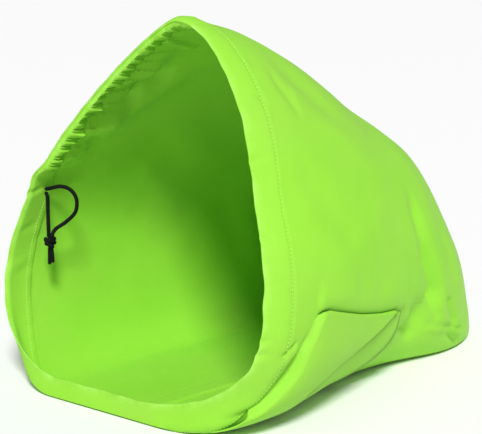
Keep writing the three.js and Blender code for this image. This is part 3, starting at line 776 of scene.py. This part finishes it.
def cloth_detail(near, along, turn, points):
    """Rise of the puckers, seam dips and soft waves over the plain wall, and a mask of painted shade in
    the gathers' nips.
    """
    amount = gather_amount(near, turn)
    from_stitch = along * BAG_LENGTH - hem_depth_at(near, turn)
    wave, run = gather_wave(near, turn, slant=PUCKER_SLANT * from_stitch)
    fade = np.exp(-np.maximum(0, from_stitch) / (PUCKER_RUN * run))
    fade = fade * smooth_step(1 + from_stitch / PUCKER_FRONT)
    rise = amount * PUCKER_RISE * (wave - 0.55) * fade
    # Painted shade in the nips between puckers, fading away from the stitch line.
    crease = amount * fade * np.clip(1 - 1.6 * wave, 0, 1) * 0.8
    ripple = soft_noise(points, RIPPLE_SIZE, 3.0) * bell(from_stitch, RIPPLE_SIZE)
    rise = rise + RIPPLE_RISE * ripple * (1 - amount)
    waves = sum(soft_noise(points, size, seed) * high for size, seed, high in WAVES)
    waves = waves * (0.25 + 0.75 * smooth_step((1 - turn) / 0.12))
    up = points[..., 2] / BAG_HEIGHT
    rise = (rise + waves) * smooth_step((up - 0.02) / 0.08)
    dip = STITCH_DIP * bell(from_stitch, STITCH_REACH)
    return rise - dip * smooth_step(up / 0.03), crease


def main():
    make_camera()
    make_cords()
    lime = lime_cloth("lime_woven_cloth")
    make_panels(lime)
    make_hem(lime, sewing_thread("lime_thread"))
    make_stage()


def crowded(low, high, count, crowds):
    """Grid lines that stand closer together at crowds, each a place, a reach and a weight."""
    fine = np.linspace(low, high, 4001)
    weight = 1 + sum(extra * bell(fine - at, reach) for at, reach, extra in crowds)
    total = np.concatenate([[0], np.cumsum((weight[1:] + weight[:-1]) / 2)])
    return np.interp(np.linspace(0, total[-1], count + 1), total, fine)


def hairpin(count, radius, pocket):
    """Steps over the top of a fold and down behind it, each its way in and its height."""
    angle = np.linspace(0, math.pi, count)
    over = np.stack([-radius * (1 - np.cos(angle)), radius * np.sin(angle)], axis=1)
    down = np.array([[-2 * radius, -pocket * 0.55], [-2 * radius - 0.2 * MM, -pocket]])
    return np.vstack([over[1:], down])


# Flat cuts of the cloth.
NEAR_FLAT = (370 * MM, 420 * MM)
FAR_FLAT = (470 * MM, 420 * MM)
NEAR_LINES = {"along": 172, "round": 196}
FAR_LINES = {"along": 158, "round": 232}
FOLD_RADIUS = 1.2 * MM
POCKET_DEPTH = 4.5 * MM
EDGE_POCKET = 3.2 * MM
EDGE_POCKET_REACH = 0.02
EDGE_SHADE_REACH = 0.010
TOP_SHADE_REACH = 0.004
TIP_ROUNDING = 6 * MM
TIP_REACH = 0.022
TUCK_BROW = 2.6 * MM
TUCK_NIP = 3.2 * MM


def panel_rows(near):
    """Lines round the wall, each its share of the way, its way in over the fold and its height."""
    if not near:
        crowds = [(1, 0.02, 6), (0, 0.02, 3), (0.78, 0.20, 1.6)]
        return [(r, 0.0, 0.0) for r in crowded(0, 1, FAR_LINES["round"], crowds)]
    crowds = [(1, 0.02, 6), (0, 0.02, 3), (CREASE_MARK, 0.02, 4), (0.2, 0.12, 0.6)]
    lines = crowded(0, 1, NEAR_LINES["round"], crowds)
    rows = [(r, 0.0, 0.0) for r in lines if r < CREASE_MARK - 0.002]
    rows += [(CREASE_MARK - 1e-6, 0.0, 0.0)]
    rows += [(CREASE_MARK - 1e-6, -inward, up) for inward, up in hairpin(8, FOLD_RADIUS, POCKET_DEPTH)]
    rows += [(r, 0.0, 0.0) for r in lines if r > CREASE_MARK + 0.002]
    return rows


def panel_columns(near):
    """Lines along the cloth, each its share of the way from the hem, the tuck's rise and a shift."""
    if not near:
        return [(s, 0.0, 0.0) for s in crowded(0, 1, FAR_LINES["along"], [(1, 0.03, 6), (0, 0.10, 4)])]
    start = HEM_DEPTH / BAG_LENGTH
    crowds = [(OVERLAP_EDGE, 0.02, 5), (TUCK_END, 0.02, 5), (1, 0.03, 6), (0, 0.05, 3), (0.12, 0.05, 1)]
    lines = crowded(0, 1, NEAR_LINES["along"], crowds)
    columns, done, level = [], 0.0, TUCK_RISE
    for edge, low in ((OVERLAP_EDGE, TUCK_RISE - TUCK_LAYER_RISE), (TUCK_END, 0.0)):
        here = (edge - start) / (1 - start)
        columns += [(s, level, 0.0) for s in lines if done <= s < here - 0.002]
        columns += [(here, level, 0.0)]
        for inward, ahead in hairpin(9, (level - low) / 2, EDGE_POCKET):
            columns += [(here, max(low, level + inward), ahead)]
        done, level = here + 0.002, low
    return columns + [(s, 0.0, 0.0) for s in lines if s > done]


def edge_shift(along, up):
    """How far cloth just behind a folded edge is drawn back under it, and the tip's rounding."""
    shift = np.zeros_like(along)
    for edge in (OVERLAP_EDGE, TUCK_END):
        behind = along - edge
        under = (behind > 1e-6) & (behind < EDGE_POCKET_REACH)
        shift = shift - np.where(under, EDGE_POCKET * (1 - behind / EDGE_POCKET_REACH), 0)
    corner = np.clip((up - 0.76) / 0.24, 0, 1) ** 2
    return shift - TIP_ROUNDING * corner * bell(along - TUCK_END, TIP_REACH)


def slanted(along, share_up):
    """Moves the lines along the cloth so that one of them follows the overlap's front edge."""
    start = HEM_DEPTH / BAG_LENGTH
    edge = np.interp(share_up, *OVERLAP_LINE.values())
    before = start + (along - start) * (edge - start) / (OVERLAP_EDGE - start)
    after = TUCK_END + (along - TUCK_END) * (TUCK_END - edge) / (TUCK_END - OVERLAP_EDGE)
    return np.where(along <= OVERLAP_EDGE, before, np.where(along < TUCK_END, after, along))


def fold_shade(along, turns):
    """Dark line where the cloth goes under the tuck's folded edges."""
    above = (along < TUCK_END) * (turns >= CREASE_MARK)
    shade = np.exp(-np.maximum(0, turns - CREASE_MARK) / TOP_SHADE_REACH) * above
    low = smooth_step((turns / CREASE_MARK - 0.35) / 0.3) * (turns < CREASE_MARK)
    for edge in (OVERLAP_EDGE, TUCK_END):
        behind = along - edge
        shade = shade + low * (behind >= -1e-6) * bell(behind, EDGE_SHADE_REACH)
    return np.clip(shade, 0, 1)


def tuck_size(place, up):
    """The tuck's share of its rise: nothing before its soft left edge, all of it beyond."""
    start = np.interp(up, *TUCK_START.values())
    return smooth_step((place - start) / TUCK_START_WIDTH + 0.5)


def folded_tuck(p, n, lift, above, along, turns, inward, height, level, shift):
    """Moves the near wall's cloth out into the tuck, with its folded top and side edges."""
    out = n.copy()
    out[..., 2] = 0
    out = unit(out)
    ahead = np.stack([-out[..., 1], out[..., 0], np.zeros_like(along)], axis=-1)
    size = tuck_size(wall_places(True, along, turns)[0], p[..., 2] / BAG_HEIGHT)
    under = turns < CREASE_MARK
    rise = lift * level * size
    left = np.where(under, rise - np.minimum(inward, rise), 0)
    fold = size * np.clip(level / TUCK_LAYER_RISE, 0, 1)
    drop = np.where(under, 0, np.maximum(0, 1 - above / 0.06)) * TUCK_POCKET * BAG_HEIGHT
    over = TUCK_BROW * bell(above - 0.04, 0.03) - TUCK_NIP * bell(above, 0.012)
    left = left + np.where(under, 0, over * fold)
    share = np.clip((turns / CREASE_MARK - 0.25) / 0.75, 0, 1)
    slide = np.where(under, smooth_step(share / 0.4) * shift, 0) * size
    p = p + out * left[..., None] + ahead * slide[..., None]
    p[..., 2] += (height - drop) * fold
    return p


def panel_faces(near):
    """Outer and inner face of a panel as grids of points, and its crease mask: painted shade in the
    gathers' nips and, on the near panel, under the tuck's folded edges.
    """
    sign = 1 if near else -1
    turn, inward, height = np.array(panel_rows(near)).T
    share, level, shift = np.array(panel_columns(near)).T
    start = hem_depth_at(near, turn) / BAG_LENGTH
    along = start[None, :] + (1 - start[None, :]) * share[:, None]
    turns = np.broadcast_to(turn[None, :], along.shape)
    straight = along
    if near:
        along = np.where(turns < CREASE_MARK, slanted(along, turns / CREASE_MARK), along)
    plain = wall_point(near, along, turns)[0]
    detail, crease = cloth_detail(near, along, turns, plain)
    if near:
        size = tuck_size(wall_places(True, along, turns)[0], plain[..., 2] / BAG_HEIGHT)
        # Painted shade under the tuck's folded edges joins the painted shade of the nips.
        crease = np.maximum(crease, fold_shade(straight, turns) * size)
    to_seam = np.minimum(length_from(plain[:, ::-1], 1)[:, ::-1], length_from(plain[::-1], 0)[::-1])
    to_keel = length_from(plain, 1)
    pucker = soft_noise(plain, SEAM_PUCKER_SIZE, 31.0) * bell(to_seam, SEAM_PUCKER_REACH)
    seam_rise = SEAM_PUCKER * pucker - SEAM_DIP * bell(to_seam, SEAM_REACH)
    detail += seam_rise * smooth_step((plain[..., 2] / BAG_HEIGHT - 0.02) / 0.05)
    flap = ALLOWANCE_RISE * smooth_step((SEAM_ALLOWANCE - np.minimum(to_seam, to_keel)) / ALLOWANCE_EDGE)
    seam = section_value("crest", np.where(turns < 0.001, tuck_floor(along), along) if near else along)
    limit = seam * HALF_WIDTH + sign * SEAM_GAP
    edge = np.zeros(along.shape, bool)
    edge[:, [0, -1]] = True
    edge[-1, :] = True
    faces = []
    for depth in (0.0, CLOTH):
        p, n, lift, above = wall_point(near, along, turns, depth + flap * (depth > 0), detail)
        p[..., 2] = np.maximum(p[..., 2], depth)
        if near:
            p = folded_tuck(p, n, lift, above, along, turns, inward[None, :], height[None, :],
                            level[:, None], shift[:, None] + edge_shift(straight, turns / CREASE_MARK))
        p[..., 0] = np.where(edge | (sign * (p[..., 0] - limit) < 0), limit, p[..., 0])
        faces.append(p)
    return *faces, crease


def closed_sheet(outer, inner, flipped):
    """Points, faces and places on the cloth of one closed sheet between two grids of points."""
    rows, cols = outer.shape[:2]
    size = rows * cols
    ids = np.arange(size).reshape(rows, cols)
    quads = np.stack([ids[:-1, :-1], ids[:-1, 1:], ids[1:, 1:], ids[1:, :-1]], axis=-1).reshape(-1, 4)
    rims = []
    for line, flip in ((ids[0], True), (ids[-1], False), (ids[:, 0], False), (ids[:, -1], True)):
        a, b = line[:-1], line[1:]
        rim = np.stack([a, b, b + size, a + size], axis=1)
        rims.append(rim if flip else rim[:, ::-1])
    faces = np.vstack([quads, quads[:, ::-1] + size, *rims])
    if flipped:
        faces = faces[:, ::-1]
    place = np.stack([length_from(outer, 0), length_from(outer, 1), np.zeros((rows, cols))], axis=-1)
    points = np.vstack([outer.reshape(-1, 3), inner.reshape(-1, 3)])
    return points, faces.tolist(), np.tile(place.reshape(-1, 3), (2, 1))


def make_panels(material):
    for name, node, near, flat in (
        ("near_panel_cloth", "near_panel", True, NEAR_FLAT),
        ("far_panel_cloth", "far_panel", False, FAR_FLAT),
    ):
        outer, inner, crease = panel_faces(near)
        points, faces, place = closed_sheet(outer, inner, flipped=not near)
        # The crease mask is painted shade in the nips and under the tuck's edges.
        masks = {"crease": np.tile(crease.reshape(-1), 2), "worn_edge_and_braid_shade": np.zeros(len(points))}
        piece = add_piece(name, node, points + BAG_PLACE, faces, material, place, masks)


# The hem's section: depth from the free edge as a share, and height off the wall as a share.
HEM_OUTER = [
    (1, 0), (.93, .35), (.85, .62), (.72, .86), (.55, 1), (.38, 1), (.22, .85), (.1, .55),
]
FLAT_HEM = [
    (.1, .5), (.22, .85), (.38, 1), (.55, 1), (.72, .86), (.85, .6), (.93, .32), (1, 0),
]
FULL_HEM = [
    (.1, .5), (.22, .78), (.36, .95), (.5, 1), (.64, .97), (.77, .82), (.86, .52), (.84, .06),
]
OUTER_STITCH = 1
INNER_STITCH = len(HEM_OUTER) + 6 + 6
WORN_EDGE = 3 * MM
HEM_STATIONS = {True: 330, False: 640}
GATHER_LOFT = 5.6 * MM
GATHER_SWELL = 2.4 * MM
FLAT_LOFT = 0.8 * MM


def nip_pull(back, nip):
    """How far a nip draws the hem in at that share of its depth."""
    return nip * float(smooth_step((back + 0.04) / 0.38))


def hem_section(depth, swell, loft, full, nip):
    """The turned hem as pairs of depth from the free edge and height off the wall."""
    t = CLOTH
    middle = (-t - 0.2 * MM) / 2
    low = 2 * middle - t
    outer = [(depth * back, swell * high * (1 - 0.12 * nip_pull(back, nip))) for back, high in HEM_OUTER]
    inner = []
    for (back, high), (full_back, full_high) in zip(FLAT_HEM, FULL_HEM):
        back += (full_back - back) * full
        high += (full_high - high) * full
        pull = nip_pull(back, nip)
        inner.append((depth * (back - 0.16 * pull), loft * high * (1 - 0.95 * pull)))
    points = list(outer)
    points += [(depth * back, swell * high * 0.5 + middle * (0.25 - high))
               for back, high in ((0.045, 0.25), (0.012, 0.0), (0.0, -0.35))]
    points += [(depth * back, middle * -high + low * 0.2)
               for back, high in ((0.0, -0.75), (0.012, -1.1), (0.045, -1.3))]
    points += [(back, low - high) for back, high in inner]
    flap = depth + HEM_TURN_UNDER
    bend = depth + HEM_TURN_UNDER / 2
    points += [(bend, low - 0.1 * MM), (flap, low), (flap, low + t * 0.9), (bend, low + t * 0.9)]
    points += [(back, low + t - high) for back, high in reversed(inner)]
    points += [(t * 1.1, middle)]
    points += [(back, high - t) for back, high in reversed(outer)]
    return points


def hem_turns(near):
    """Places round the mouth, closer together along the gathers."""
    turn, length = (values[::-1] for values in STITCH_LINES[near])
    run = NEAR_RUN if near else FAR_RUN
    count = HEM_STATIONS[near]
    turns = np.interp(crowded(0, length[-1], count, [(run / 2, run / 1.5, 1.8)]), length, turn)
    return turns[:0:-1] if near else turns[:-1]


def make_hem(material, thread):
    walls = []
    for near in (True, False):
        turn = hem_turns(near)
        amount = gather_amount(near, turn)
        depth = hem_depth_at(near, turn)
        off_floor = smooth_step((turn - FOOT_SHARE) / (WIDE_SHARE - FOOT_SHARE))
        swell = (FLAT_LOFT + (GATHER_SWELL - FLAT_LOFT) * amount) * off_floor
        loft = FLAT_LOFT + (GATHER_LOFT - FLAT_LOFT) * amount
        nip = np.stack([np.clip(1 - gather_wave(near, turn, slant=lean * depth)[0], 0, 1)
                        for lean in (0.0, 0.15)], axis=1).mean(axis=1) * amount
        ring = np.array([hem_section(*values) for values in zip(depth, swell, loft, amount, nip)])
        back = ring[..., 0]
        turns = np.broadcast_to(turn[:, None], back.shape)
        plain = wall_point(near, back / BAG_LENGTH, turns)[0]
        detail, _ = cloth_detail(near, back / BAG_LENGTH, turns, plain)
        wave = soft_noise(plain, EDGE_WAVE_SIZE, 51.0) * bell(back, EDGE_WAVE_REACH)
        back = back + EDGE_WAVE * wave
        p, n, _, _ = wall_point(near, back / BAG_LENGTH, turns, -ring[..., 1], detail)
        walls.append((p, n, amount, nip))
    points, normals, gathered, nips = (np.concatenate(parts) for parts in zip(*walls))
    points[..., 2] = np.maximum(points[..., 2], 0)
    count, size = points.shape[:2]
    faces = ring_faces(count, size, closed=True).tolist()
    around, across = length_from(points[:, 4])[:, None], length_from(points[0])[None, :]
    place = np.stack(np.broadcast_arrays(around, across, 0.0), axis=-1).reshape(-1, 3)
    depths = np.array(hem_section(HEM_DEPTH, 0, 0, 0, 0))[:, 0]
    inside = (np.arange(size) > len(HEM_OUTER) + 5) & (np.arange(size) < INNER_STITCH + 4)
    across_tube = smooth_step(depths / HEM_DEPTH / 0.5) * inside
    # Painted shade in the nips across the hem's gathered tube.
    crease_shade = nips[:, None] ** 3 * across_tube[None, :] * 0.7
    edge = np.broadcast_to(bell(depths, WORN_EDGE), (count, size))
    masks = {"crease": crease_shade.reshape(-1), "worn_edge_and_braid_shade": edge.reshape(-1)}
    grid = points.reshape(-1, 3) + BAG_PLACE
    piece = add_piece("mouth_hem_cloth", "mouth_hem", grid, faces, material, place, masks)
    flat_part = gathered < 0.5
    make_stitches(thread, [(points[:, OUTER_STITCH], normals[:, OUTER_STITCH], np.ones(count, bool)),
                           (points[:, INNER_STITCH], -normals[:, INNER_STITCH], flat_part)])


STITCH_LENGTH = 2.3 * MM
STITCH_PITCH = 3.1 * MM
STITCH_CLEAR = 2 * MM
THREAD_RADIUS = 0.34 * MM
THREAD_SIDES = 6
# A stitch's height over the cloth and its thickness, at even steps along it.
STITCH_ARCH = np.array([-0.35, 0.10, 0.20, 0.10, -0.35]) * MM
STITCH_THICK = np.array([0.7, 1, 1, 1, 0.7]) * THREAD_RADIUS


def make_stitches(material, lines):
    """Lockstitches round the hem: short arched runs of thread that dip into the cloth."""
    points, faces = [], []
    angle = np.linspace(0, 2 * math.pi, THREAD_SIDES, endpoint=False)
    high = STITCH_ARCH[:, None] + STITCH_THICK[:, None] * np.sin(angle)
    wide = STITCH_THICK[:, None] * np.cos(angle)
    for line, normal, shown in lines:
        length = length_from(line)
        for start in np.arange(0, length[-1] - STITCH_LENGTH, STITCH_PITCH):
            at = start + STITCH_LENGTH * np.linspace(0, 1, len(STITCH_ARCH))
            middle, up = along_line(at, length, line), along_line(at, length, normal)
            if not shown[np.searchsorted(length, at[2])] or middle[2, 2] < STITCH_CLEAR:
                continue
            side = np.cross(unit(middle[-1] - middle[0]), up)
            faces += tube_faces(len(STITCH_ARCH), THREAD_SIDES, len(points) * wide.size)
            points.append((middle[:, None] + up[:, None] * high[..., None]
                           + side[:, None] * wide[..., None]).reshape(-1, 3))
    add_piece("hem_stitching", "mouth_hem", np.vstack(points) + BAG_PLACE, faces, material)


# Soft even studio light: a wide key from beside the camera and a pale room all round.
KEY_FROM = (48, 46)
KEY_STRENGTH = 3.2
KEY_SPREAD = 14
KEY_AWAY = 3.0
SKY_STRENGTH = 0.30
FLOOR_REACH = 20.0
FLOOR_DROP = 0.4 * MM


def make_stage():
    mesh = bpy.data.meshes.new("pale_floor")
    r = FLOOR_REACH
    mesh.from_pydata([(-r, -r, 0), (r, -r, 0), (r, r, 0), (-r, r, 0)], [], [(0, 1, 2, 3)])
    floor = place_object("pale_floor", mesh)
    floor.location.z = -FLOOR_DROP
    mesh.materials.append(new_material("pale_paper", {"Base Color": PAPER, "Roughness": 0.9})[0])
    world = bpy.data.worlds.new("studio")
    bpy.context.scene.world = world
    world.use_nodes = True
    sky = world.node_tree.nodes["Background"].inputs
    sky["Color"].default_value = (1, 1, 1, 1)
    sky["Strength"].default_value = SKY_STRENGTH
    lamp = place_object("key_sky", bpy.data.lights.new("key_sky", "SUN"))
    lamp.data.energy = KEY_STRENGTH
    lamp.data.angle = math.radians(KEY_SPREAD)
    toward = direction(*KEY_FROM)
    lamp.rotation_euler = toward.to_track_quat("Z", "Y").to_euler()
    lamp.location = toward * KEY_AWAY
    bpy.context.scene.view_settings.view_transform = "Standard"


main()
